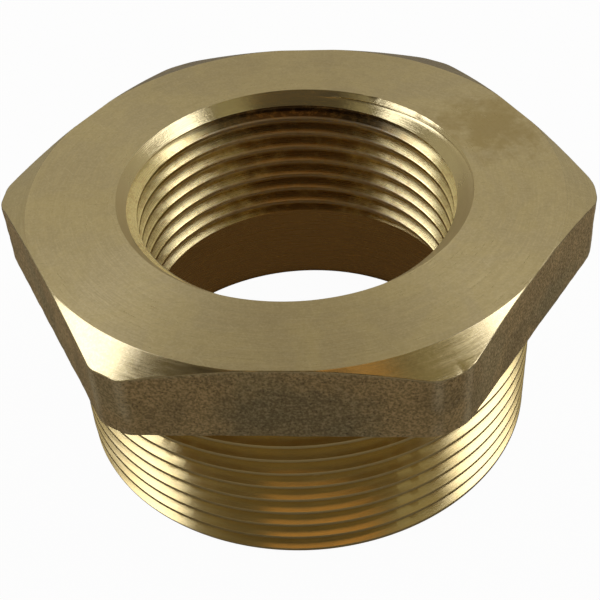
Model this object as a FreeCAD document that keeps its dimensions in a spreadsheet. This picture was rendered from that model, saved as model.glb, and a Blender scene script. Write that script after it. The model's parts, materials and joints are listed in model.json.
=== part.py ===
import FreeCAD, Part
import math
import os

import Sketcher

# Hexagon reducing bush: one cast and machined brass piece, male thread outside, female inside.
# The origin is the centre of the bottom end face, +Z runs along the bore towards the hexagon
# head, and two of the six flats face -Y and +Y.

os.makedirs("parts", exist_ok=True)
doc = FreeCAD.newDocument("reducing_bush")

# Driving dimensions, in millimetres and degrees.
VALUES = {
    # Hexagon head
    "across_flats": 65.0,      # flat to flat
    "corner_flat": 36.45,      # axis to the narrow flat on each hexagon corner
    "head_height": 9.8,        # measured on the flats
    "total_length": 34.5,      # bottom end face to top face
    "face_radius": 32.62,      # circle where the top face meets the corner bevel
    "bevel_angle": 22.0,       # corner bevel, from the plane of the top face
    # Both threads
    "pitch": 2.309,            # 11 threads per inch
    "flank_angle": 27.5,       # half of the 55 degree thread angle
    "land_width": 0.385,       # flat on each thread crest and at each thread root
    "thread_depth": 1.479,     # crest to root, measured radially
    # Outside thread and neck
    "male_major": 29.807,      # crest radius
    "male_start": -1.448,      # height of the groove on the +X side where it starts
    "male_rise": 24.8,         # height the groove climbs, ending in the neck
    "end_bevel": 1.3,          # 45 degree lead-in at the bottom end
    "neck_radius": 28.1,       # plain neck under the head, where the thread runs out
    "neck_width": 2.8,
    # Inside thread and bore
    "female_minor": 19.476,    # crest radius
    "female_start": 13.325,    # height of the groove on the +X side, in the relief bore
    "female_rise": 22.6,       # height the groove climbs, ending above the top face
    "mouth_radius": 21.76,     # 45 degree countersink, at the top face
    "relief_radius": 24.5,     # plain bore under the inside thread
    "relief_depth": 15.4,      # plain bore, from the bottom end face
    # Working allowances
    "core_radius": 14.0,       # inner edge of the turned profiles
    "hole_margin": 0.5,        # how far the first hole reaches outside core_radius
    "bevel_margin": 3.0,       # how far the bevel profile reaches outside corner_flat
    "over": 1.0,               # how far profiles pass the faces they cut or join
    "tool_over": 0.2,          # how far the thread profile passes the crest
    "sector": 30.0,            # turned walls are built in equal sectors of this angle
}
sheet = doc.addObject("Spreadsheet::Sheet", "sizes")
for row, (alias, value) in enumerate(VALUES.items(), start=1):
    sheet.set("A%d" % row, alias)
    sheet.set("B%d" % row, str(value))
    sheet.setAlias("B%d" % row, alias)
doc.recompute()

body = doc.addObject("PartDesign::Body", "Body")
body.Label = "reducing_bush"


class Size:
    """A number worked out from the sheet, together with the expression that gives it."""

    def __init__(self, value, text):
        self.value, self.text = value, text

    @staticmethod
    def of(number):
        if isinstance(number, Size):
            return number
        return Size(float(number), repr(float(number)))

    def __add__(self, other):
        return Size(self.value + other.value, "(%s + %s)" % (self.text, other.text))

    def __sub__(self, other):
        return Size(self.value - other.value, "(%s - %s)" % (self.text, other.text))

    def __mul__(self, other):
        other = Size.of(other)
        return Size(self.value * other.value, "(%s * %s)" % (self.text, other.text))

    def __neg__(self):
        return Size(-self.value, "(0 - %s)" % self.text)


def size(alias):
    return Size(float(getattr(sheet, alias)), "sizes." + alias)


def tangent(angle):
    return Size(math.tan(math.radians(angle.value)), "tan(%s * 1 deg)" % angle.text)


# Modelling helpers

def origin(role):
    return next(item for item in body.Origin.OriginFeatures if item.Role == role)


def make_sketch(name, role, points):
    """A closed polygon on one of the body's own planes, every corner bound to the sheet."""
    sketch = body.newObject("Sketcher::SketchObject", name)
    sketch.AttachmentSupport = [(origin(role), "")]
    sketch.MapMode = "FlatFace"
    points = [(Size.of(across), Size.of(up)) for across, up in points]
    vectors = [FreeCAD.Vector(across.value, up.value, 0) for across, up in points]
    count = len(points)
    for i in range(count):
        sketch.addGeometry(Part.LineSegment(vectors[i], vectors[(i + 1) % count]), False)
    for i in range(count):
        sketch.addConstraint(Sketcher.Constraint("Coincident", i, 2, (i + 1) % count, 1))
    for i, (across, up) in enumerate(points):
        # -2 is the sketch's vertical axis, -1 its horizontal axis.
        for kind, axis, place in (("DistanceX", -2, across), ("DistanceY", -1, up)):
            if abs(place.value) < 1e-9:
                sketch.addConstraint(Sketcher.Constraint("PointOnObject", i, 1, axis))
            else:
                index = sketch.addConstraint(
                    Sketcher.Constraint(kind, -1, 1, i, 1, place.value)
                )
                sketch.setExpression("Constraints[%d]" % index, place.text)
    return sketch


def add_feature(kind, name, profile):
    doc.recompute()
    feature = body.newObject("PartDesign::" + kind, name)
    feature.Profile = profile
    feature.Refine = False
    profile.Visibility = False
    return feature


volumes = [0.0]    # volume of the body after each feature


def finish(feature, grows):
    """Recompute, and make sure the feature worked and changed the volume the right way."""
    body.Tip = feature
    doc.recompute()
    if "Invalid" in feature.State or "Error" in feature.State or feature.Shape.isNull():
        raise RuntimeError("%s failed: %s" % (feature.Name, feature.State))
    volumes.append(feature.Shape.Volume)
    if grows != (volumes[-1] > volumes[-2]):
        raise RuntimeError("%s moved the volume the wrong way" % feature.Name)
    return feature


def turn(kind, name, profile_name, points, sector=False):
    """Turn an XZ profile about Z, a full turn or one sector, to add or cut material."""
    profile = make_sketch(profile_name, "XZ_Plane", points)
    feature = add_feature(kind, name, profile)
    feature.ReferenceAxis = (profile, ["V_Axis"])
    if sector:
        feature.setExpression("Angle", "sizes.sector")
    else:
        feature.Angle = 360
    return finish(feature, grows=(kind == "Revolution"))


def repeat_around(name, original, grows):
    """Repeat one sector around Z to close the ring."""
    doc.recompute()
    pattern = body.newObject("PartDesign::PolarPattern", name)
    pattern.Originals = [original]
    pattern.Axis = (origin("Z_Axis"), [""])
    pattern.Angle = 360
    pattern.setExpression("Occurrences", "360 / sizes.sector")
    pattern.Refine = False
    finish(pattern, grows)


# Sizes shared by several features
top = size("total_length")
head_height = size("head_height")
head_bottom = top - head_height
over = size("over")
core = size("core_radius")
male_major = size("male_major")
female_minor = size("female_minor")


def hexagon_corners():
    """Both ends of each flat, where it meets the narrow flats on the hexagon's corners."""
    half_flats = size("across_flats") * 0.5
    # The narrow flat's normal is 30 degrees from the flat's, so the distance along the flat
    # from its middle is (corner_flat - half_flats * cos 30) / sin 30.
    beyond = size("corner_flat") - half_flats * math.cos(math.radians(30))
    corners = []
    for i in range(6):
        direction = math.radians(-90.0 + 60.0 * i)
        normal_x, normal_y = math.cos(direction), math.sin(direction)
        for side in (-1, 1):
            along = beyond * (2.0 * side)
            corners.append((
                half_flats * normal_x + along * -normal_y,
                half_flats * normal_y + along * normal_x,
            ))
    return corners


def build_head():
    hexagon = make_sketch("hexagon", "XY_Plane", hexagon_corners())
    hexagon.setExpression("AttachmentOffset.Base.z", head_bottom.text)
    head = add_feature("Pad", "head", hexagon)
    head.setExpression("Length", head_height.text)
    finish(head, grows=True)

    # A shallow cone trims the top of the corners.
    face_radius = size("face_radius")
    reach = size("corner_flat") + size("bevel_margin")
    drop = (reach - face_radius) * tangent(size("bevel_angle"))
    turn("Groove", "corner_bevel", "bevel_profile", [
        (face_radius, top),
        (reach, top - drop),
        (reach, top + over),
        (face_radius, top + over),
    ])


def build_shank():
    """The blank for the outside thread, then the neck, up into the head."""
    neck_radius = size("neck_radius")
    neck_bottom = head_bottom - size("neck_width")
    sector = turn("Revolution", "shank_sector", "shank_profile", [
        (core, -over),
        (male_major, -over),
        (male_major, neck_bottom),
        (neck_radius, neck_bottom),
        (neck_radius, head_bottom + over),
        (core, head_bottom + over),
    ], sector=True)
    repeat_around("shank", sector, grows=True)


def cut_first_hole():
    """Right through, clearing the inner edge of the other turned profiles."""
    radius = core + size("hole_margin")
    turn("Groove", "hole", "hole_profile", [
        (0, -over * 2),
        (radius, -over * 2),
        (radius, top + over),
        (0, top + over),
    ])


def cut_end_face():
    """Bottom end, faced off flat, with a 45 degree lead-in for the outside thread."""
    end_bevel = size("end_bevel")
    turn("Groove", "end_face", "end_profile", [
        (core, 0),
        (male_major - end_bevel, 0),
        (male_major + over, end_bevel + over),
        (male_major + over, -over * 2),
        (core, -over * 2),
    ])


def cut_bore():
    """Relief bore, blank for the inside thread, and countersink."""
    relief_radius = size("relief_radius")
    relief_depth = size("relief_depth")
    mouth_radius = size("mouth_radius")
    countersink = mouth_radius - female_minor
    sector = turn("Groove", "bore_sector", "bore_profile", [
        (core, -over),
        (relief_radius, -over),
        (relief_radius, relief_depth),
        (female_minor, relief_depth),
        (female_minor, top - countersink),
        (mouth_radius + over, top + over),
        (core, top + over),
    ], sector=True)
    repeat_around("bore", sector, grows=False)


def cut_thread(name, crest, start, rise, outward):
    """A groove with straight flanks, cut along a right-hand helix.

    outward is 1 where the crest lies outside the root, and -1 where it lies inside.
    """
    root = crest - size("thread_depth") * outward
    tip = crest + size("tool_over") * outward
    root_half = size("land_width") * 0.5
    tip_half = root_half + (tip - root) * outward * tangent(size("flank_angle"))
    profile = make_sketch(name + "_profile", "XZ_Plane", [
        (root, start - root_half),
        (tip, start - tip_half),
        (tip, start + tip_half),
        (root, start + root_half),
    ])
    groove = add_feature("SubtractiveHelix", name, profile)
    groove.ReferenceAxis = (profile, ["V_Axis"])
    groove.Mode = "pitch-height-angle"
    groove.setExpression("Pitch", "sizes.pitch")
    groove.setExpression("Height", rise.text)
    groove.Angle = 0
    groove.LeftHanded = False
    groove.Reversed = False
    finish(groove, grows=False)


build_head()
build_shank()
cut_first_hole()
cut_end_face()
cut_bore()
cut_thread("outside_thread", male_major, size("male_start"), size("male_rise"), outward=1.0)
cut_thread("inside_thread", female_minor, size("female_start"), size("female_rise"), outward=-1.0)

# Every object has to be sound before anything is written.
bad = [item.Name for item in doc.Objects if "Invalid" in item.State or "Error" in item.State]
if bad:
    raise RuntimeError("objects that failed: %s" % bad)
shape = body.Shape
if shape.isNull() or not shape.isValid() or len(shape.Solids) != 1:
    raise RuntimeError("the body is not one valid solid")
shape.exportStep("parts/%s.step" % body.Label)
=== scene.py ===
"""Brass reducing bush: a hexagon head over a short outside thread, with an inside thread.

The axis is Z and the lower end face stands on z = 0. Two flats of the head face -Y (the
camera) and +Y, and two blunted corners lie on the X axis. Shapes are worked out in millimetres
and azimuths in degrees from +X. The mesh is scaled to metres at the end.
"""
import json
import math

import bpy
import numpy as np
from mathutils import Matrix, Vector


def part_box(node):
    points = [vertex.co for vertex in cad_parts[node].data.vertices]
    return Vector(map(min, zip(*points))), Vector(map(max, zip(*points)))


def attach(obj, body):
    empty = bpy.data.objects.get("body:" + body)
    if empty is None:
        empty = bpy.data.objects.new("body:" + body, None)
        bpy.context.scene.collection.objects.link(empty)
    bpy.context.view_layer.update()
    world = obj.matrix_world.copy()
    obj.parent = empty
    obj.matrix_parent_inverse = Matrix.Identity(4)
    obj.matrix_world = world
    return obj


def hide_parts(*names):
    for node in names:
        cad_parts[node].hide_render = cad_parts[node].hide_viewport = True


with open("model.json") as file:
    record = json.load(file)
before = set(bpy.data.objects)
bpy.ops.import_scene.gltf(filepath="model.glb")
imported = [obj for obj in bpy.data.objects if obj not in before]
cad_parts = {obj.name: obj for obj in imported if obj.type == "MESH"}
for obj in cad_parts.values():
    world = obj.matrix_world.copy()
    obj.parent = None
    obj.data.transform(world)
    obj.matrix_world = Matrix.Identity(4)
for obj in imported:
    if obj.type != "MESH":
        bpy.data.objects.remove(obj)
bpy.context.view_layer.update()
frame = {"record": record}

# ---------------------------------------------------------------------------------------------
# Sizes, in millimetres
# ---------------------------------------------------------------------------------------------
lo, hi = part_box("reducing_bush")
mounts = {m["name"]: m for m in frame["record"]["mounts"]}

# head
TOP = hi.z * 1000.0
FLAT = (hi.y - lo.y) * 500.0        # axis to a flat
BLUNT = (hi.x - lo.x) * 500.0       # axis to a blunted corner
UNDER = mounts["head_seat_face"]["pos_m"][2] * 1000.0 - 0.1     # cast underside, a little low
FACE_R = 32.62                      # top face meets the bevel
BEVEL = math.tan(math.radians(22.0))
FOOT = 0.36                         # rounding of the lower edge
SEAT = 29.5                         # outer radius of the turned ring beside the neck
SEAT_RISE = 0.07                    # turned ring above the cast underside
CORNER_SOFT = [0.7, 0.5, 0.6, 0.5, 0.32, 0.9]   # softness of the corners at 0, 60 ... 300 degrees

# neck and lower end
NECK_R = 28.1
NECK_FILLET = 0.45
MALE_TOP = UNDER - 2.7 + 0.55       # neck meets the outside thread
MALE_FLARE = 1.9                    # radius gained per mm below the neck
END_CHAMFER = 1.3
RELIEF = 24.5                       # plain bore below the inside thread
RELIEF_CHAMFER = 0.3
SHELF = 15.4                        # lower end of the inside thread
SHELF_FILLET = 0.8

# mouth
MOUTH = 21.76
MOUTH_DEPTH = 0.86                  # part of the countersink laid out as its own rings
FEMALE_TOP = TOP - MOUTH_DEPTH

# threads
MALE = mounts["male_thread"]["dims"]["r_mm"]
FEMALE = mounts["female_thread"]["dims"]["r_mm"]
PITCH = 2.309
DEPTH = 1.479
FLANK_SLOPE = math.tan(math.radians(27.5))
ROOT_R = 0.30
NO_LIMIT = 99.0                     # radius beyond the whole part

# The cross-section runs through these zones, from the mouth outwards, down and back up inside
ZONES = ["top", "bevel", "rim", "side", "foot", "under", "neck", "male", "base", "relief",
         "shelf", "female", "mouth"]
ZONE = {name: i for i, name in enumerate(ZONES)}

# Material slots
SLOT_TURNED, SLOT_MACHINED, SLOT_CAST = 0, 1, 2


# ---------------------------------------------------------------------------------------------
# Numbers and noise
# ---------------------------------------------------------------------------------------------
def noise(points, wave, seed):
    """Deterministic gradient noise on points, with features about `wave` mm across."""
    random = np.random.default_rng(seed)
    perm = random.permutation(256)
    gradient = random.normal(size=(256, 3))
    gradient = gradient / np.linalg.norm(gradient, axis=1)[:, None]
    place = np.asarray(points, float) / wave + 37.7
    cell = np.floor(place).astype(int)
    frac = place - cell
    fade = frac * frac * frac * (frac * (frac * 6 - 15) + 10)
    total = np.zeros(len(place))
    for dx in (0, 1):
        for dy in (0, 1):
            for dz in (0, 1):
                index = perm[(cell[:, 0] + dx) & 255]
                index = perm[(index + cell[:, 1] + dy) & 255]
                index = perm[(index + cell[:, 2] + dz) & 255]
                weight = (
                    (fade[:, 0] if dx else 1 - fade[:, 0])
                    * (fade[:, 1] if dy else 1 - fade[:, 1])
                    * (fade[:, 2] if dz else 1 - fade[:, 2])
                )
                total += weight * (gradient[index] * (frac - np.array([dx, dy, dz]))).sum(1)
    return total * 1.6


def smooth(start, end, value):
    t = np.clip((np.asarray(value, float) - start) / (end - start), 0, 1)
    return t * t * (3 - 2 * t)


def lerp(a, b, t):
    return a + (b - a) * t


def angle_gap(a, b):
    """Signed difference a - b in degrees, from -180 to 180."""
    return (a - b + 180.0) % 360.0 - 180.0


def band(deg, centre, half, soft):
    """1 inside an arc of azimuths, 0 outside it, soft at both ends."""
    return 1 - smooth(half - soft, half + soft, abs(angle_gap(deg, centre)))


# ---------------------------------------------------------------------------------------------
# Hexagon
# ---------------------------------------------------------------------------------------------
# Degrees from the middle of a flat to where it bends into a blunted corner
BEND = math.degrees(math.atan2((BLUNT - FLAT * math.cos(math.pi / 6)) * 2.0, FLAT))


def column_azimuths():
    """Azimuths round the axis, closer together where the hexagon bends."""
    spans = [(-BEND + 2.0, BEND - 2.0, 41),             # flat
             (BEND - 1.6, BEND + 1.6, 9),               # bend
             (BEND + 2.1, 60 - BEND - 2.1, 3),          # blunted corner
             (60 - BEND - 1.6, 60 - BEND + 1.6, 9)]     # bend
    azimuths = set()
    for k in range(6):
        for start, end, count in spans:
            for offset in np.linspace(start, end, count):
                azimuths.add(round((-90.0 + 60.0 * k + offset) % 360.0, 5))
    return [float(a) for a in sorted(azimuths)]


def hexagon(deg):
    """Distance from the axis to the hexagon's side at an azimuth, with soft bends."""
    flat = min(
        FLAT / max(math.cos(math.radians(angle_gap(deg, -90.0 + 60 * k))), 0.2)
        for k in range(6)
    )
    corner = min(range(6), key=lambda k: abs(angle_gap(deg, 60.0 * k)))
    blunt = BLUNT / math.cos(math.radians(angle_gap(deg, 60.0 * corner)))
    soft = CORNER_SOFT[corner]
    h = min(max(0.5 + 0.5 * (blunt - flat) / soft, 0.0), 1.0)
    return blunt * (1 - h) + flat * h - soft * h * (1 - h)


# ---------------------------------------------------------------------------------------------
# Threads
# ---------------------------------------------------------------------------------------------
class Thread:
    """Helical thread: crest flat, small edge break, straight flank and rounded root."""

    def __init__(self, crest_half, edge_break, crest_z):
        """crest_z is the height of a crest's middle at azimuth 0."""
        self.crest_z = crest_z
        # (height above the crest's middle, depth from the crest), symmetric about the root
        root = [
            (
                PITCH / 2 - ROOT_R * math.sin(math.radians(a)),
                DEPTH - ROOT_R + ROOT_R * math.cos(math.radians(a)),
            )
            for a in (62.5, 28.0, 0.0)
        ]
        tangent_z, tangent_depth = root[0]
        flank_start = tangent_z - (tangent_depth - edge_break) * FLANK_SLOPE
        half = [(crest_half, 0.0), (flank_start, edge_break)] + root
        profile = half + [(PITCH - z, depth) for z, depth in reversed(half[:-1])]
        self.heights = [z for z, _ in profile]
        self.depths = [depth for _, depth in profile]

    def depth(self, az, z):
        """Depth from the crest at height z and azimuth az (radians)."""
        s = (z - self.crest_z - PITCH * az / (2 * math.pi)) % PITCH
        if s < self.heights[0]:
            s += PITCH
        heights = self.heights + [self.heights[0] + PITCH]
        return float(np.interp(s, heights, self.depths + [self.depths[0]]))

    def breaks(self, az, z0, z1):
        """Heights between z0 and z1 where the profile has a corner."""
        base = self.crest_z + PITCH * az / (2 * math.pi)
        first = math.floor((z0 - base) / PITCH) - 1
        last = math.ceil((z1 - base) / PITCH) + 1
        heights = [base + k * PITCH + s for k in range(first, last + 1) for s in self.heights]
        return [z for z in heights if z0 < z < z1]


MALE_THREAD = Thread(crest_half=0.15, edge_break=0.035, crest_z=20.487)
FEMALE_THREAD = Thread(crest_half=0.13, edge_break=0.04, crest_z=30.643)


def trace(breaks, thread, limit, pick):
    """Corners (z, r) of pick(thread, limit) along z.

    breaks is a sorted list of (z, owner). Corners of the curve that isn't picked are dropped,
    and corners are added where the curves cross.
    """
    corners = []
    for i, (z, owner) in enumerate(breaks):
        a, b = thread(z), limit(z)
        picked = "thread" if pick(a, b) == a else "limit"
        if owner in ("both", picked):
            corners.append((z, pick(a, b)))
        if i + 1 < len(breaks):
            z_next = breaks[i + 1][0]
            gap, gap_next = a - b, thread(z_next) - limit(z_next)
            if gap * gap_next < 0:
                z_cross = z + (z_next - z) * (gap / (gap - gap_next))
                corners.append((z_cross, pick(thread(z_cross), limit(z_cross))))
    return corners


def thin(points, gap=0.018):
    """Drops corners that almost touch the one before, keeping both ends."""

    def touches(p, q):
        return abs(p[0] - q[0]) + abs(p[1] - q[1]) <= gap

    kept = [points[0]]
    for point in points[1:-1]:
        if not touches(point, kept[-1]):
            kept.append(point)
    while len(kept) > 1 and touches(points[-1], kept[-1]):
        kept.pop()
    return kept + [points[-1]]


# ---------------------------------------------------------------------------------------------
# One column of the cross-section. Each zone is a list of (key, r, z), with the key rising
# from 0 to 1 along the zone. The last point of a zone is the first of the next.
# ---------------------------------------------------------------------------------------------
def mouth_radii(deg):
    """Radius of the even mouth edge, and of the same edge ragged round azimuth 50."""
    az = math.radians(deg)
    ring = np.array([[21.8 * math.cos(az), 21.8 * math.sin(az), 0.0]])
    ragged = float(band(deg, centre=50.0, half=19.0, soft=5.0))
    chip = float(noise(ring, 1.3, 91)[0]) * 0.15 + float(noise(ring, 0.7, 92)[0]) * 0.10
    even = MOUTH + 0.010 * float(noise(ring, 3.0, 90)[0])
    return even, even + ragged * max(chip + 0.05, 0.0)


def head_zones(deg, mouth):
    edge = hexagon(deg)
    face_end = min(FACE_R, edge - 0.16)
    radii = [mouth, mouth + 0.12, *np.linspace(mouth + 1.2, face_end - 0.5, 9), face_end]
    top = [(i / (len(radii) - 1), r, TOP) for i, r in enumerate(radii)]

    outer = edge - 0.10
    z_outer = TOP - max(outer - FACE_R, 0.0) * BEVEL - 0.01
    steps = 6
    bevel = [
        (i / steps, lerp(face_end, outer, i / steps), lerp(TOP, z_outer, i / steps))
        for i in range(steps + 1)
    ]
    z_side = z_outer - 0.13
    rim = [(0.0, outer, z_outer), (0.5, edge - 0.03, z_outer - 0.05), (1.0, edge, z_side)]

    rows = 22
    side = [(i / rows, edge, lerp(z_side, UNDER + FOOT, i / rows)) for i in range(rows + 1)]
    foot = []
    for i in range(6):
        a = i / 5 * math.pi / 2
        foot.append((i / 5, edge - FOOT + FOOT * math.cos(a), UNDER + FOOT - FOOT * math.sin(a)))
    under = [
        (0.0, edge - FOOT, UNDER),
        (0.3, lerp(edge - FOOT, SEAT, 0.35), UNDER),
        (0.6, lerp(edge - FOOT, SEAT, 0.70), UNDER),
        (0.85, SEAT + 0.05, UNDER),
        (0.9, SEAT, UNDER + SEAT_RISE),
        (1.0, NECK_R + NECK_FILLET, UNDER + SEAT_RISE),
    ]
    return {"top": top, "bevel": bevel, "rim": rim, "side": side, "foot": foot, "under": under}


def male_corners(az):
    """Outside thread from the end face up to the neck, as (z, r)."""

    def limit(z):
        flare = NECK_R + max(MALE_TOP - z, 0.0) * MALE_FLARE
        chamfer = MALE - END_CHAMFER + z if z < END_CHAMFER + 0.5 else NO_LIMIT
        return min(flare, chamfer)

    breaks = [(z, "thread") for z in MALE_THREAD.breaks(az, 0.0, MALE_TOP)]
    breaks += [(0.0, "both"), (MALE_TOP, "both")]
    breaks += [(END_CHAMFER + 0.5, "limit"), (MALE_TOP - 1.0, "limit")]
    return thin(trace(sorted(breaks), lambda z: MALE - MALE_THREAD.depth(az, z), limit, min))


def female_corners(az, even):
    """Inside thread from the shelf up into the countersink, as (z, r)."""

    def limit(z):
        return max(even - (TOP - z), FEMALE + 0.55 - (z - SHELF) * 1.4)

    breaks = [(z, "thread") for z in FEMALE_THREAD.breaks(az, SHELF, FEMALE_TOP)]
    breaks += [(SHELF, "both"), (FEMALE_TOP, "both")]
    return thin(trace(sorted(breaks), lambda z: FEMALE + FEMALE_THREAD.depth(az, z), limit, max))


def outside_zones(az):
    neck = [
        (0.0, NECK_R + NECK_FILLET, UNDER + SEAT_RISE),
        (0.2, NECK_R + 0.13, UNDER - 0.06),
        (0.4, NECK_R, UNDER - 0.38),
        (1.0, NECK_R, MALE_TOP),
    ]
    corners = male_corners(az)
    male = [((MALE_TOP - z) / MALE_TOP, r, z) for z, r in reversed(corners)]
    end_r = corners[0][1]
    inner_r = RELIEF + RELIEF_CHAMFER
    base = [(0.0, end_r, 0.0), (0.35, lerp(end_r, inner_r, 0.35), 0.0), (1.0, inner_r, 0.0)]
    return {"neck": neck, "male": male, "base": base}


def mouth_zone(deg, even, mouth, r_low):
    """Upper countersink, with a fine tool mark round part of it that runs out at both ends."""
    mark = float(band(deg, centre=38.0, half=42.0, soft=7.0))
    mark_depth = min(max(0.14 + 0.0095 * angle_gap(deg, 0.0), 0.14), 0.62)
    # key, depth below the top face, cut of the mark
    rings = [
        (0.0, MOUTH_DEPTH, 0.0),
        (0.25, mark_depth + 0.07, 0.0),
        (0.4, mark_depth, 0.045),
        (0.5, mark_depth - 0.05, 0.0),
        (0.8, 0.085, 0.0),
    ]
    points = [
        (key, lerp(even, r_low, depth / MOUTH_DEPTH) + mark * cut, TOP - depth - mark * cut * 0.4)
        for key, depth, cut in rings
    ]
    return points + [(1.0, mouth, TOP)]


def inside_zones(deg, even, mouth):
    shelf_r = RELIEF - SHELF_FILLET
    relief = [(0.0, RELIEF + RELIEF_CHAMFER, 0.0), (0.04, RELIEF, RELIEF_CHAMFER)]
    relief += [
        (key, RELIEF, lerp(RELIEF_CHAMFER, SHELF - SHELF_FILLET, (key - 0.04) / 0.86))
        for key in np.linspace(0.14, 0.9, 8)
    ]
    relief += [
        (0.94, RELIEF - 0.12, SHELF - 0.4),
        (0.97, RELIEF - 0.4, SHELF - 0.12),
        (1.0, shelf_r, SHELF),
    ]
    corners = female_corners(math.radians(deg), even)
    low_r, high_r = corners[0][1], corners[-1][1]
    shelf = [(0.0, shelf_r, SHELF), (0.5, lerp(shelf_r, low_r, 0.5), SHELF), (1.0, low_r, SHELF)]
    female = [((z - SHELF) / (FEMALE_TOP - SHELF), r, z) for z, r in corners]
    return {"relief": relief, "shelf": shelf, "female": female,
            "mouth": mouth_zone(deg, even, mouth, high_r)}


def column(deg):
    even, mouth = mouth_radii(deg)
    return {
        **head_zones(deg, mouth),
        **outside_zones(math.radians(deg)),
        **inside_zones(deg, even, mouth),
    }


# ---------------------------------------------------------------------------------------------
# Skin between the columns
# ---------------------------------------------------------------------------------------------
def next_step(keys_a, p, keys_b, q):
    """Which of two neighbouring columns to move along: a, b or both."""
    if p == len(keys_a) - 1:
        return "b"
    if q == len(keys_b) - 1:
        return "a"
    next_a, next_b = keys_a[p + 1], keys_b[q + 1]
    # corners that belong together have nearly the same key in both columns
    near = min(
        next_a - keys_a[p],
        next_b - keys_b[q],
        (keys_a[p + 2] - next_a) if p + 2 < len(keys_a) else 9.0,
        (keys_b[q + 2] - next_b) if q + 2 < len(keys_b) else 9.0,
    )
    if abs(next_a - next_b) <= max(0.45 * near, 1e-9):
        return "both"
    return "a" if next_a < next_b else "b"


def stitch(column_a, column_b):
    """Faces between two closed columns, as (vertex indices, zone)."""
    ids_a, keys_a = column_a
    ids_b, keys_b = column_b
    p = q = 0
    while p < len(ids_a) - 1 or q < len(ids_b) - 1:
        step = next_step(keys_a, p, keys_b, q)
        if step == "b":
            face = (ids_a[p], ids_b[q + 1], ids_b[q])
            middle = (keys_b[q] + keys_b[q + 1]) / 2
        else:
            face = (ids_a[p], ids_a[p + 1], ids_b[q])
            middle = (keys_a[p] + keys_a[p + 1]) / 2
        if step == "both":
            face = (ids_a[p], ids_a[p + 1], ids_b[q + 1], ids_b[q])
        yield face, int(middle)
        p += step != "b"
        q += step != "a"


def build_skin():
    """Points in mm, faces, the zone of each face and the zone of each point."""
    points, point_zone, columns = [], [], []
    for deg in column_azimuths():
        az = math.radians(deg)
        zones = column(deg)
        ids, keys = [], []
        for zone, name in enumerate(ZONES):
            section = zones[name]
            # each zone shares its first point with the zone before, and the ends meet
            section = section[1:] if ids else section
            section = section[:-1] if name == ZONES[-1] else section
            for key, r, z in section:
                ids.append(len(points))
                keys.append(zone + key)
                points.append((r * math.cos(az), r * math.sin(az), z))
                point_zone.append(zone)
        columns.append((ids + [ids[0]], keys + [float(len(ZONES))]))
    faces, face_zone = [], []
    for column_a, column_b in zip(columns, columns[1:] + columns[:1]):
        for face, zone in stitch(column_a, column_b):
            faces.append(face)
            face_zone.append(zone)
    return np.array(points), faces, np.array(face_zone), np.array(point_zone)


def bevel_height(r):
    """Height of the top face or its bevel at a radius."""
    return TOP - np.maximum(r - FACE_R, 0) * BEVEL


def azimuth(points):
    return np.degrees(np.arctan2(points[:, 1], points[:, 0]))


def roughen(points, zone):
    """Makes the as-cast faces uneven and wears their edges."""
    r = np.hypot(points[:, 0], points[:, 1])
    z_top = bevel_height(r)
    outward = np.stack([points[:, 0] / r, points[:, 1] / r, np.zeros(len(points))], 1)

    def within(*names):
        return np.isin(zone, [ZONE[name] for name in names])

    def shift_out(mask, amount):
        return outward * np.where(mask, amount, 0.0)[:, None]

    swell = (
        0.055 * (noise(points, 7.0, 11) + 0.5 * noise(points, 3.5, 12))
        + 0.045 * noise(points, 2.2, 13)
        + 0.035 * noise(points, 1.0, 14)
    )
    fade = smooth(0.0, 0.55, z_top - points[:, 2])
    points = points + shift_out(within("side", "foot"), swell * fade)

    # the lower edge of the casting wanders up and down a little
    ring = np.stack([points[:, 0], points[:, 1], np.zeros(len(points))], 1)
    wander = 0.09 * smooth(0.5, 0.0, points[:, 2] - UNDER) * noise(ring, 2.6, 17)
    points[:, 2] += np.where(within("foot"), wander, 0.0)

    # the underside outside the turned ring is cast too
    cast_under = within("under") & (r > SEAT + 0.5)
    points[:, 2] += np.where(cast_under, 0.06 * noise(points, 3.0, 19), 0.0)

    # small knock on one corner, where the bevel meets the cast side
    along = np.radians(angle_gap(azimuth(points), -58.4)) * r
    knock = np.exp(-((along / 0.42) ** 2) - ((points[:, 2] - z_top) / 0.35) ** 2)
    knock = knock * smooth(r.max() - 1.1, r.max() - 0.1, r)
    knocked = within("rim", "bevel", "side")
    points = points - shift_out(knocked, 0.09 * knock)
    points[:, 2] -= np.where(knocked, 0.03 * knock, 0.0)

    # fine unevenness of the crisp rim
    return points - shift_out(within("rim"), 0.035 * np.maximum(noise(ring, 0.9, 23), 0.0))


def cast_wear(points):
    """0 in the middle of a cast side, 1 where its corners and edges are rubbed brighter."""
    r = np.hypot(points[:, 0], points[:, 1])
    az = azimuth(points)
    from_flat = np.abs(angle_gap(az, -90.0 + 60.0 * np.round((az + 90.0) / 60.0)))
    # strength, distance from the edge, reach, base level, noise gain, noise wave, seed
    edges = [
        (1.2, np.abs(np.radians(from_flat - BEND) * r), 0.55, 0.6, 0.9, 2.4, 31),   # bends
        (0.5, bevel_height(r) - points[:, 2], 0.22, 0.4, 1.0, 1.4, 32),             # upper edge
        (0.35, points[:, 2] - UNDER, 0.5, 0.4, 1.0, 1.8, 33),                       # lower edge
    ]
    wear = 0.0
    for strength, distance, reach, level, gain, wave, seed in edges:
        near = np.exp(-((distance / reach) ** 2))
        wear = wear + strength * near * (level + gain * noise(points, wave, seed))
    return np.clip(wear, 0, 1)


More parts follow.
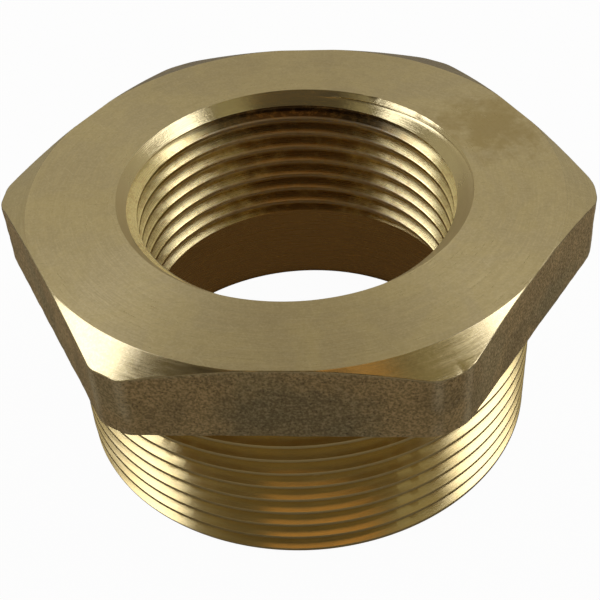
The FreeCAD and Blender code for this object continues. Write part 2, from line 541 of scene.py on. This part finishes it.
# ---------------------------------------------------------------------------------------------
# Bush mesh
# ---------------------------------------------------------------------------------------------
def material_slots(points, faces, face_zone):
    slots = np.full(len(faces), SLOT_MACHINED, dtype=np.int32)
    slots[np.isin(face_zone, [ZONE[n] for n in ("top", "bevel", "rim")])] = SLOT_TURNED
    slots[np.isin(face_zone, [ZONE[n] for n in ("side", "foot")])] = SLOT_CAST
    for i in np.nonzero(face_zone == ZONE["under"])[0]:
        if np.mean([math.hypot(points[k][0], points[k][1]) for k in faces[i]]) > SEAT:
            slots[i] = SLOT_CAST
    return slots


def keep_crisp(mesh, face_zone, pairs):
    """Marks the edges between these pairs of zones sharp."""
    loop_totals = np.empty(len(mesh.polygons), np.int32)
    mesh.polygons.foreach_get("loop_total", loop_totals)
    loop_edge = np.empty(len(mesh.loops), np.int32)
    mesh.loops.foreach_get("edge_index", loop_edge)
    loop_zone = face_zone[np.repeat(np.arange(len(mesh.polygons)), loop_totals)]
    low = np.full(len(mesh.edges), len(ZONES))
    high = np.full(len(mesh.edges), -1)
    np.minimum.at(low, loop_edge, loop_zone)
    np.maximum.at(high, loop_edge, loop_zone)
    sharp = np.empty(len(mesh.edges), dtype=bool)
    mesh.attributes["sharp_edge"].data.foreach_get("value", sharp)
    for a, b in pairs:
        sharp |= (low == ZONE[a]) & (high == ZONE[b])
    mesh.attributes["sharp_edge"].data.foreach_set("value", sharp)


def build_bush():
    points, faces, face_zone, point_zone = build_skin()
    points = roughen(points, point_zone)
    mesh = bpy.data.meshes.new("bush_visual")
    mesh.from_pydata((points * 0.001).tolist(), [], faces)
    mesh.validate(clean_customdata=False)
    mesh.update()
    slots = material_slots(points, faces, face_zone)
    mesh.polygons.foreach_set("material_index", slots)
    mesh.polygons.foreach_set("use_smooth", np.ones(len(faces), dtype=bool))
    wear = mesh.attributes.new("edge_wear", "FLOAT", "POINT")
    wear.data.foreach_set("value", cast_wear(points).astype(np.float32))
    mesh.set_sharp_from_angle(angle=math.radians(32))
    crisp = [("top", "bevel"), ("bevel", "rim"), ("rim", "side"), ("top", "mouth")]
    keep_crisp(mesh, face_zone, crisp)
    bush = bpy.data.objects.new("bush_visual", mesh)
    bpy.context.scene.collection.objects.link(bush)
    return bush


def bake_normals(bush):
    """Weighs large faces more in the normals, so machined faces shade flat up to their edges."""
    modifier = bush.modifiers.new("normals", "WEIGHTED_NORMAL")
    modifier.keep_sharp = True
    modifier.weight = 60
    depsgraph = bpy.context.evaluated_depsgraph_get()
    baked = bpy.data.meshes.new_from_object(
        bush.evaluated_get(depsgraph), preserve_all_data_layers=True, depsgraph=depsgraph
    )
    bush.modifiers.clear()
    bush.data = baked
    baked.name = "bush_visual"


# ---------------------------------------------------------------------------------------------
# Shader node helpers
# ---------------------------------------------------------------------------------------------
class Field:
    """A number output of a shader node. Arithmetic on it adds Math nodes."""

    def __init__(self, nodes, socket):
        self.nodes = nodes
        self.socket = socket

    def __add__(self, other):
        return self.nodes.math("ADD", self, other)

    def __radd__(self, other):
        return self.nodes.math("ADD", other, self)

    def __sub__(self, other):
        return self.nodes.math("SUBTRACT", self, other)

    def __rsub__(self, other):
        return self.nodes.math("SUBTRACT", other, self)

    def __mul__(self, other):
        return self.nodes.math("MULTIPLY", self, other)

    def __truediv__(self, other):
        return self.nodes.math("DIVIDE", self, other)

    def __abs__(self):
        return self.nodes.math("ABSOLUTE", self)

    def scaled(self, by, plus):
        """self * by + plus in one node."""
        return self.nodes.math("MULTIPLY_ADD", self, by, plus)


def rgba(color):
    """Adds the alpha to a plain colour. Sockets pass through."""
    return (*color, 1) if isinstance(color, tuple) else color


class Nodes:
    """Adds nodes to a shader tree."""

    def __init__(self, tree):
        self.tree = tree

    def add(self, kind, **settings):
        node = self.tree.nodes.new("ShaderNode" + kind)
        for key, value in settings.items():
            setattr(node, key, value)
        return node

    def put(self, socket, value):
        """Links a socket or Field to an input, or sets a plain value."""
        if isinstance(value, Field):
            value = value.socket
        if isinstance(value, bpy.types.NodeSocket):
            self.tree.links.new(value, socket)
        else:
            socket.default_value = value

    def math(self, operation, *values):
        node = self.add("Math", operation=operation)
        for socket, value in zip(node.inputs, values):
            self.put(socket, value)
        return Field(self, node.outputs[0])

    def length(self, a, b):
        return self.math("SQRT", a * a + b * b)

    def split(self, vector):
        node = self.add("SeparateXYZ")
        self.put(node.inputs[0], vector)
        return [Field(self, socket) for socket in node.outputs]

    def ramp(self, value, at, to=(0.0, 1.0)):
        """Smooth step from to[0] where value is at[0] to to[1] where it is at[1]."""
        node = self.add("MapRange", interpolation_type="SMOOTHSTEP", clamp=True)
        self.put(node.inputs["Value"], value)
        for key, number in zip(("From Min", "From Max", "To Min", "To Max"), (*at, *to)):
            self.put(node.inputs[key], number)
        return Field(self, node.outputs["Result"])

    def blend(self, color, toward, amount):
        node = self.add("Mix", data_type="RGBA", clamp_factor=True)
        self.put(node.inputs[0], amount)
        self.put(node.inputs[6], rgba(color))
        self.put(node.inputs[7], rgba(toward))
        return node.outputs[2]


class Surface(Nodes):
    """Material tree with the position in millimetres at hand."""

    def __init__(self, name):
        self.material = bpy.data.materials.new(name)
        self.material.use_nodes = True
        super().__init__(self.material.node_tree)
        self.place = self.stretch(self.add("TexCoord").outputs["Object"])
        self.x, self.y, self.z = self.split(self.place)

    def stretch(self, vector, by=None):
        """Multiplies a vector by a triple, or from metres to millimetres."""
        node = self.add("VectorMath", operation="MULTIPLY" if by else "SCALE")
        self.put(node.inputs[0], vector)
        if by:
            node.inputs[1].default_value = by
        else:
            node.inputs["Scale"].default_value = 1000.0
        return node.outputs[0]

    def polar(self):
        """Radius, and cosine and sine of the azimuth."""
        radius = self.length(self.x, self.y)
        return radius, self.x / radius, self.y / radius

    def noise(self, *vector, scale, detail, rough, warp=0.0):
        """Noise over the position, or over three given coordinates."""
        source = self.place
        if vector:
            node = self.add("CombineXYZ")
            for socket, value in zip(node.inputs, vector):
                self.put(socket, value)
            source = node.outputs[0]
        return self.noise_at(source, scale, detail, rough, warp)

    def noise_at(self, source, scale, detail, rough, warp):
        node = self.add("TexNoise", noise_dimensions="3D")
        self.put(node.inputs["Vector"], source)
        node.inputs["Scale"].default_value = scale
        node.inputs["Detail"].default_value = detail
        node.inputs["Roughness"].default_value = rough
        node.inputs["Distortion"].default_value = warp
        return Field(self, node.outputs["Fac"])

    def cells(self, scale):
        node = self.add("TexVoronoi")
        self.put(node.inputs["Vector"], self.place)
        node.inputs["Scale"].default_value = scale
        return Field(self, node.outputs["Distance"])

    def attribute(self, name):
        return Field(self, self.add("Attribute", attribute_name=name).outputs["Fac"])

    def bump(self, height, distance, strength):
        """distance is in metres."""
        node = self.add("Bump")
        node.inputs["Strength"].default_value = strength
        node.inputs["Distance"].default_value = distance
        self.put(node.inputs["Height"], height)
        return node.outputs["Normal"]

    def finish(self, color, rough, normal, metallic=1.0, stretch=None, specular=None):
        """stretch draws highlights out round the axis, as turning marks do."""
        inputs = self.tree.nodes["Principled BSDF"].inputs
        self.put(inputs["Base Color"], color)
        self.put(inputs["Roughness"], rough)
        self.put(inputs["Metallic"], metallic)
        self.put(inputs["Normal"], normal)
        if stretch is not None:
            self.put(inputs["Anisotropic"], stretch)
            inputs["Anisotropic Rotation"].default_value = 0.25
            tangent = self.add("Tangent", direction_type="RADIAL", axis="Z")
            self.put(inputs["Tangent"], tangent.outputs[0])
        if specular is not None:
            inputs["Specular IOR Level"].default_value = specular
        return self.material


# ---------------------------------------------------------------------------------------------
# Materials
# ---------------------------------------------------------------------------------------------
def brass_turned_face():
    """Faced on a lathe: fine rings, slightly dulled, with faint olive and brown clouds."""
    g = Surface("brass_turned_face")
    radius, cos_az, sin_az = g.polar()
    fine = g.noise(cos_az * 5.5, sin_az * 5.5, radius * 4.2, scale=1.0, detail=4.0, rough=0.7)
    coarse = g.noise(cos_az * 3.5, sin_az * 3.5, radius * 0.8, scale=1.0, detail=3.0, rough=0.6)
    cloud = g.noise(scale=0.11, detail=4.0, rough=0.65, warp=0.8)
    color = g.blend((0.665, 0.56, 0.30), toward=(0.615, 0.52, 0.30),
                    amount=g.ramp(cloud, at=(0.38, 0.64)))
    # pale fine rings
    color = g.blend(color, toward=(0.76, 0.645, 0.36),
                    amount=g.ramp(fine, at=(0.42, 0.66)) * 0.45)
    # pale scratches askew to the axes, dark ones nearly along X
    across = g.x * 0.82 + g.y * 0.57
    along = g.y * 0.82 - g.x * 0.57
    pale = g.noise(across * 4.2, along * 0.45, 3.0, scale=1.0, detail=1.0, rough=0.5, warp=0.5)
    dark = g.noise(g.x * 0.5, g.y * 4.6, 7.0, scale=1.0, detail=1.0, rough=0.5, warp=0.9)
    color = g.blend(color, toward=(0.82, 0.72, 0.44),
                    amount=g.ramp(pale, at=(0.67, 0.75), to=(0.0, 0.34)))
    color = g.blend(color, toward=(0.40, 0.33, 0.17),
                    amount=g.ramp(dark, at=(0.68, 0.75), to=(0.0, 0.32)))
    # brown coarse rings, then brown mottle and pale dust
    color = g.blend(color, toward=(0.50, 0.41, 0.195),
                    amount=g.ramp(coarse, at=(0.5, 0.8)) * 0.16)
    mottle = g.noise(scale=0.9, detail=4.0, rough=0.7, warp=0.3)
    color = g.blend(color, toward=(0.53, 0.435, 0.23),
                    amount=g.ramp(mottle, at=(0.42, 0.62), to=(0.0, 0.24)))
    dust = g.noise(scale=3.4, detail=2.0, rough=0.6)
    color = g.blend(color, toward=(0.82, 0.72, 0.46),
                    amount=g.ramp(dust, at=(0.45, 0.65), to=(0.0, 0.24)))
    # tarnish cloud round one point of the face, with a ragged edge
    far = g.length(g.x - 24.6, g.y - 12.4)
    far = far + g.noise(scale=0.30, detail=4.0, rough=0.7, warp=0.2) * 20.0
    color = g.blend(color, toward=(0.445, 0.335, 0.13),
                    amount=g.ramp(far, at=(19.5, 11.5), to=(0.0, 0.68)))
    # dark specks
    speck = g.noise(scale=2.2, detail=2.0, rough=0.6)
    color = g.blend(color, toward=(0.42, 0.37, 0.22),
                    amount=g.ramp(speck, at=(0.66, 0.8), to=(0.0, 0.35)))
    # the bevel is smoother than the face
    bevel_start = (FACE_R - 0.1, FACE_R + 0.1)
    rough = g.ramp(fine, at=(0.25, 0.8), to=(0.26, 0.40)) + g.ramp(cloud, at=(0.4, 0.7)) * 0.05
    rough = rough - g.ramp(radius, at=bevel_start, to=(0.0, 0.14))
    height = fine * 0.85 + coarse * 0.15
    height = height * g.ramp(radius, at=bevel_start, to=(1.0, 0.35))
    return g.finish(color, rough, g.bump(height, distance=0.00006, strength=0.5), stretch=0.62)


def brass_machined():
    """Threads, bores and end face: brighter, with marks along the cut, painted shade in the
    thread roots and round the back of the bore, and painted highlights on its crests.
    """
    g = Surface("brass_machined")
    radius, cos_az, sin_az = g.polar()
    lane = (g.z + radius * 0.8) * 6.0
    streak = g.noise(cos_az * 3.0, sin_az * 3.0, lane, scale=1.0, detail=4.0, rough=0.7)
    burr = g.noise(scale=3.2, detail=2.0, rough=0.6)
    cloud = g.noise(scale=0.16, detail=3.0, rough=0.6, warp=0.6)

    # masks: inside thread, thread roots, countersink
    male_depth = (MALE - radius) / DEPTH
    female_depth = (radius - FEMALE) / DEPTH
    inside = g.ramp(radius, at=(23.0, 24.2), to=(1.0, 0.0))
    bore = inside * g.ramp(g.z, at=(SHELF - 0.4, SHELF + 0.2))
    root = (bore * g.ramp(female_depth, at=(0.80, 1.02))
            + (1.0 - inside) * g.ramp(male_depth, at=(0.55, 1.02)))
    cone = g.ramp(abs(g.z - radius - (TOP - MOUTH)), at=(0.10, 0.05)) * inside

    color = g.blend((0.80, 0.64, 0.29), toward=(0.74, 0.60, 0.29),
                    amount=g.ramp(cloud, at=(0.35, 0.7)))
    # pale streaks, brown burrs, and painted shade in the thread roots
    color = g.blend(color, toward=(0.88, 0.76, 0.42),
                    amount=g.ramp(streak, at=(0.45, 0.75)) * 0.5)
    color = g.blend(color, toward=(0.52, 0.36, 0.12),
                    amount=g.ramp(burr, at=(0.50, 0.34)) * inside.scaled(by=0.35, plus=0.10))
    color = g.blend(color, toward=(0.46, 0.27, 0.075), amount=root * 0.45)
    # painted light: the inside thread gets a brighter copy of the brass colour, less in its
    # roots, to lift its highlights
    color = g.blend(color, toward=(1.0, 0.86, 0.425),
                    amount=bore * root.scaled(by=-0.5, plus=0.9))
    # painted shade, brown, round the back of the bore
    back_shade = sin_az + (g.noise(scale=0.35, detail=3.0, rough=0.6) - 0.5) * 0.5
    back_shade = g.ramp(back_shade, at=(0.80, 1.0)) * bore
    color = g.blend(color, toward=(0.33, 0.20, 0.08), amount=back_shade * 0.74)
    # at the back, painted shade, darkest in the first groove under the countersink, and painted
    # highlights along the crests
    first = g.ramp(g.z, at=(TOP - 4.6, TOP - 3.6)) * (g.ramp(sin_az, at=(0.55, 0.9)) * bore)
    color = g.blend(color, toward=(0.11, 0.07, 0.038), amount=first * 0.9)
    # painted highlight: the crests at the back of the inside thread are made paler
    crest_highlight = bore * (g.ramp(female_depth, at=(0.22, 0.08)) * g.ramp(sin_az, at=(0.5, 0.9)))
    color = g.blend(color, toward=(0.62, 0.54, 0.40), amount=crest_highlight * 0.7)
    # brown stains in the inside thread
    stained = g.ramp(g.noise(scale=1.1, detail=4.0, rough=0.7), at=(0.48, 0.64)) * bore
    color = g.blend(color, toward=(0.62, 0.40, 0.15), amount=stained * 0.4)
    # countersink, browner towards the front
    color = g.blend(color, toward=(0.70, 0.60, 0.33), amount=cone * 0.85)
    color = g.blend(color, toward=(0.50, 0.40, 0.225),
                    amount=cone * g.ramp(sin_az, at=(0.35, 0.0), to=(0.0, 0.45)))
    # plain bore below the shelf
    relief = (g.ramp(radius, at=(RELIEF - 1.0, RELIEF - 0.4))
              * g.ramp(radius, at=(RELIEF + 0.5, RELIEF + 0.1)))
    color = g.blend(color, toward=(0.56, 0.37, 0.16), amount=relief * 0.35)

    # crest edges of the inside thread
    lip = bore * g.ramp(female_depth, at=(0.16, 0.06))
    rough = g.ramp(streak, at=(0.3, 0.8), to=(0.19, 0.28)) + root * 0.04
    rough = rough + bore * 0.06
    rough = rough - cone * 0.15
    # the front of the countersink is duller
    rough = rough + cone * g.ramp(sin_az, at=(0.25, -0.15), to=(0.0, 0.34))
    rough = rough + crest_highlight * 0.14
    rough = rough - lip * 0.12
    stretch = bore.scaled(by=0.18, plus=0.75) - cone * 0.45 - lip * 0.4
    height = streak * 0.6 + burr * inside.scaled(by=0.38, plus=0.05)
    normal = g.bump(height, distance=0.00004, strength=0.5)
    return g.finish(color, rough, normal, stretch=stretch)


def brass_cast():
    """As-cast skin: dull grey-brown, granular, rubbed brighter on the corners."""
    g = Surface("brass_cast")
    grain = g.noise(scale=3.3, detail=3.0, rough=0.6)
    pit = g.cells(scale=2.0)
    patch = g.noise(scale=0.14, detail=4.0, rough=0.65, warp=0.7)
    flattened = g.stretch(g.place, by=(1.0, 1.0, 1.4))
    green = g.noise_at(flattened, scale=0.10, detail=2.0, rough=0.5, warp=0.3)
    color = g.blend((0.50, 0.385, 0.195), toward=(0.74, 0.57, 0.290),
                    amount=g.ramp(patch, at=(0.36, 0.62)))
    # paler upper part, then greenish clouds
    upper = g.ramp(g.z + patch * 5.0, at=(UNDER + 6.0, UNDER + 9.5))
    color = g.blend(color, toward=(0.78, 0.585, 0.290), amount=upper * 0.5)
    color = g.blend(color, toward=(0.50, 0.45, 0.255),
                    amount=g.ramp(green, at=(0.48, 0.66), to=(0.0, 0.4)))
    # darker greenish stain low on the front side, wider than high
    far = g.length((g.x - 2.0) * 0.62, g.z - (UNDER + 2.6))
    far = far + g.noise(scale=0.55, detail=3.0, rough=0.6) * 5.0
    stain = g.ramp(far, at=(9.0, 6.0)) * g.ramp(g.y, at=(-31.0, -32.0))
    color = g.blend(color, toward=(0.33, 0.295, 0.175), amount=stain * 0.55)
    # dark hollows and pale tops of the grain, then dark pits
    color = g.blend(color, toward=(0.17, 0.125, 0.070),
                    amount=g.ramp(grain, at=(0.60, 0.36), to=(0.0, 0.50)))
    color = g.blend(color, toward=(0.92, 0.78, 0.48),
                    amount=g.ramp(grain, at=(0.52, 0.66), to=(0.0, 0.28)))
    color = g.blend(color, toward=(0.085, 0.062, 0.036),
                    amount=g.ramp(pit, at=(0.26, 0.08), to=(0.0, 0.6)))
    # warm lower edge and underside
    below = g.ramp(g.z, at=(UNDER + 0.28, UNDER + 0.06))
    color = g.blend(color, toward=(0.80, 0.56, 0.24), amount=below * 0.6)
    # rubbed edges
    rub = g.attribute("edge_wear") * g.ramp(grain, at=(0.3, 0.6), to=(0.35, 1.0))
    color = g.blend(color, toward=(0.98, 0.88, 0.60), amount=rub * 0.75)
    rough = g.ramp(grain, at=(0.3, 0.7), to=(0.78, 0.60)) - rub * 0.2
    height = grain * 0.75 + g.ramp(pit, at=(0.0, 0.5)) * 0.25
    normal = g.bump(height, distance=0.00022, strength=0.75)
    return g.finish(color, rough, normal, metallic=0.45 + rub * 0.45, specular=0.4)


# ---------------------------------------------------------------------------------------------
# Floor, studio and camera
# ---------------------------------------------------------------------------------------------
def floor_paper():
    """Near-white to the camera, a darker warm bounce to everything else."""
    material = bpy.data.materials.new("floor_paper")
    material.use_nodes = True
    g = Nodes(material.node_tree)
    g.tree.nodes.clear()
    seen = Field(g, g.add("LightPath").outputs["Is Camera Ray"])
    paper = g.add("BsdfDiffuse")
    g.put(paper.inputs["Color"], g.blend((0.36, 0.345, 0.31), (0.82, 0.82, 0.80), amount=seen))
    glow = g.add("Emission")
    g.put(glow.inputs["Color"], g.blend((1.0, 0.70, 0.46), (1.0, 1.0, 1.0), amount=seen))
    glow.inputs["Strength"].default_value = 1.0
    # the floor inside the bore glows faintly, fading out between these radii in metres
    from_axis = g.add("VectorMath", operation="LENGTH")
    g.put(from_axis.inputs[0], g.add("NewGeometry").outputs["Position"])
    well = g.add("MapRange")
    g.put(well.inputs["Value"], from_axis.outputs["Value"])
    well.inputs["From Min"].default_value = 0.0235
    well.inputs["From Max"].default_value = 0.0245
    well.inputs["To Min"].default_value = 0.065
    well.inputs["To Max"].default_value = 0.0
    # 0.97: share of glow in what the camera sees
    share = g.math("MAXIMUM", seen * 0.97, well.outputs["Result"])
    shader = g.add("MixShader")
    g.put(shader.inputs[0], share)
    g.put(shader.inputs[1], paper.outputs[0])
    g.put(shader.inputs[2], glow.outputs[0])
    g.put(g.add("OutputMaterial").inputs["Surface"], shader.outputs[0])
    return material


def build_floor():
    half, z = 4.0, -0.00005         # metres
    mesh = bpy.data.meshes.new("floor")
    corners = [(-half, -half, z), (half, -half, z), (half, half, z), (-half, half, z)]
    mesh.from_pydata(corners, [], [(0, 1, 2, 3)])
    floor = bpy.data.objects.new("floor", mesh)
    bpy.context.scene.collection.objects.link(floor)
    mesh.materials.append(floor_paper())


# Soft rectangles on a flat ceiling one unit above the object, later ones over earlier ones:
# x from, x to, y from, y to, edge softness, colour. +x is right and +y is away from the camera.
PANELS = [
    (-0.22, 0.36, -0.36, -0.10, 0.02, (0.66, 0.36, 0.125)),     # warm panel
    (0.10, 0.27, -0.10, 0.09, 0.02, (0.50, 0.29, 0.11)),        # its extension
    (-0.40, 0.07, -0.06, 0.30, 0.05, (0.045, 0.035, 0.025)),    # shaded spot
    (0.30, 0.70, -0.25, 0.30, 0.08, (0.28, 0.245, 0.150)),      # dim, right
    (0.43, 0.86, -0.64, -0.27, 0.06, (0.37, 0.34, 0.23)),       # dim, front right
    (-0.90, -0.57, -0.64, -0.34, 0.035, (0.38, 0.345, 0.245)),  # dim, front left
    (-0.90, -0.52, 0.30, 0.66, 0.06, (2.2, 2.15, 2.1)),         # lamp, back left
    (0.38, 0.90, 0.32, 0.66, 0.06, (2.4, 2.35, 2.3)),           # lamp, back right
]
# Long lights, one each side: side, inner edge, outer edge, lean of the inner edge, y from,
# y to, colour
LONG_LIGHTS = [
    (-1.0, 0.665, 1.18, 0.32, -0.29, 0.68, (2.6, 2.62, 2.95)),
    (1.0, 0.76, 1.24, 0.40, -0.20, 0.80, (3.0, 3.02, 3.4)),
]
# Dim rectangles over the back ends of the lamps and long lights, laid out as PANELS
BACK_PANELS = [
    (0.42, 0.96, 0.64, 0.86, 0.04, (0.20, 0.17, 0.105)),
    (-1.0, -0.50, 0.67, 0.88, 0.04, (0.24, 0.21, 0.135)),
]


def build_world():
    """Dim room, paler behind the object and to the sides; plain white to the camera."""
    world = bpy.data.worlds.new("studio")
    bpy.context.scene.world = world
    world.use_nodes = True
    g = Nodes(world.node_tree)
    g.tree.nodes.clear()
    x, y, z = g.split(g.add("TexCoord").outputs["Generated"])
    # where a direction meets the ceiling
    rise = g.math("MAXIMUM", z, 0.02)
    ceiling_x = x / rise
    ceiling_y = y / rise
    above = g.ramp(z, at=(0.02, 0.08))

    def span(value, start, end, start_soft, end_soft):
        """1 from start to end, soft at both."""
        return (g.ramp(value, at=(start - start_soft, start + start_soft))
                * g.ramp(value, at=(end - end_soft, end + end_soft), to=(1.0, 0.0)))

    def add_panels(room, panels):
        for x0, x1, y0, y1, soft, color in panels:
            mask = span(ceiling_x, x0, x1, soft, soft) * span(ceiling_y, y0, y1, soft, soft)
            room = g.blend(room, toward=color, amount=above * mask)
        return room

    room = g.blend((0.130, 0.108, 0.064), toward=(0.48, 0.445, 0.375),
                   amount=g.ramp(ceiling_y, at=(0.45, 1.0)))
    # right and left sides
    room = g.blend(room, toward=(0.42, 0.39, 0.325), amount=g.ramp(ceiling_x, at=(1.30, 1.70)))
    room = g.blend(room, toward=(0.40, 0.37, 0.305), amount=g.ramp(ceiling_x, at=(-1.30, -1.70)))
    # towards the viewer: dark high up, paler low down
    near = g.blend((0.085, 0.070, 0.055), toward=(0.25, 0.22, 0.18),
                   amount=g.ramp(z, at=(0.55, 0.20)))
    room = g.blend(room, toward=near, amount=g.ramp(y, at=(-0.30, -0.60)))
    # below the horizon
    room = g.blend(room, toward=(0.32, 0.30, 0.27), amount=g.ramp(z, at=(0.06, -0.02)))

    room = add_panels(room, PANELS)
    for side, inner, outer, lean, y0, y1, color in LONG_LIGHTS:
        leaning = ceiling_x * side + ceiling_y * lean
        in_x = (g.ramp(leaning, at=(inner - 0.06, inner + 0.06))
                * g.ramp(ceiling_x * side, at=(outer - 0.12, outer + 0.12), to=(1.0, 0.0)))
        mask = in_x * span(ceiling_y, y0, y1, 0.07, 0.07)
        room = g.blend(room, toward=color, amount=above * mask)
    room = add_panels(room, BACK_PANELS)

    shader = g.add("MixShader")
    g.put(shader.inputs[0], g.add("LightPath").outputs["Is Camera Ray"])
    for slot, color in ((1, room), (2, (1.0, 1.0, 1.0))):
        background = g.add("Background")
        g.put(background.inputs["Color"], rgba(color))
        background.inputs["Strength"].default_value = 1.0
        g.put(shader.inputs[slot], background.outputs[0])
    g.put(g.add("OutputWorld").inputs["Surface"], shader.outputs[0])


def build_camera():
    """Looks down at the bush from the -Y side. Lengths of the lens are in millimetres."""
    lens = bpy.data.cameras.new("camera")
    lens.lens = 70.8167
    lens.sensor_width = 36.0
    lens.clip_start = 0.01
    camera = bpy.data.objects.new("camera", lens)
    bpy.context.scene.collection.objects.link(camera)
    right = Vector((0.99737647, 0.0534509, -0.04881777))
    up = Vector((0.00138784, 0.66013757, 0.75114344))
    backward = Vector((0.07237573, -0.74924054, 0.6583315))
    place = Vector((0.0111229, -0.1170929, 0.1184782))
    camera.matrix_world = Matrix(
        [(right[i], up[i], backward[i], place[i]) for i in range(3)] + [(0, 0, 0, 1)]
    )
    bpy.context.scene.camera = camera


bush = build_bush()
# in slot order
for make_material in (brass_turned_face, brass_machined, brass_cast):
    bush.data.materials.append(make_material())
bake_normals(bush)
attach(bush, "root")
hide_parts("reducing_bush")

build_floor()
build_world()
build_camera()

view = bpy.context.scene.view_settings
view.view_transform = "Standard"
view.look = "None"
view.exposure = 0.0
view.gamma = 1.0
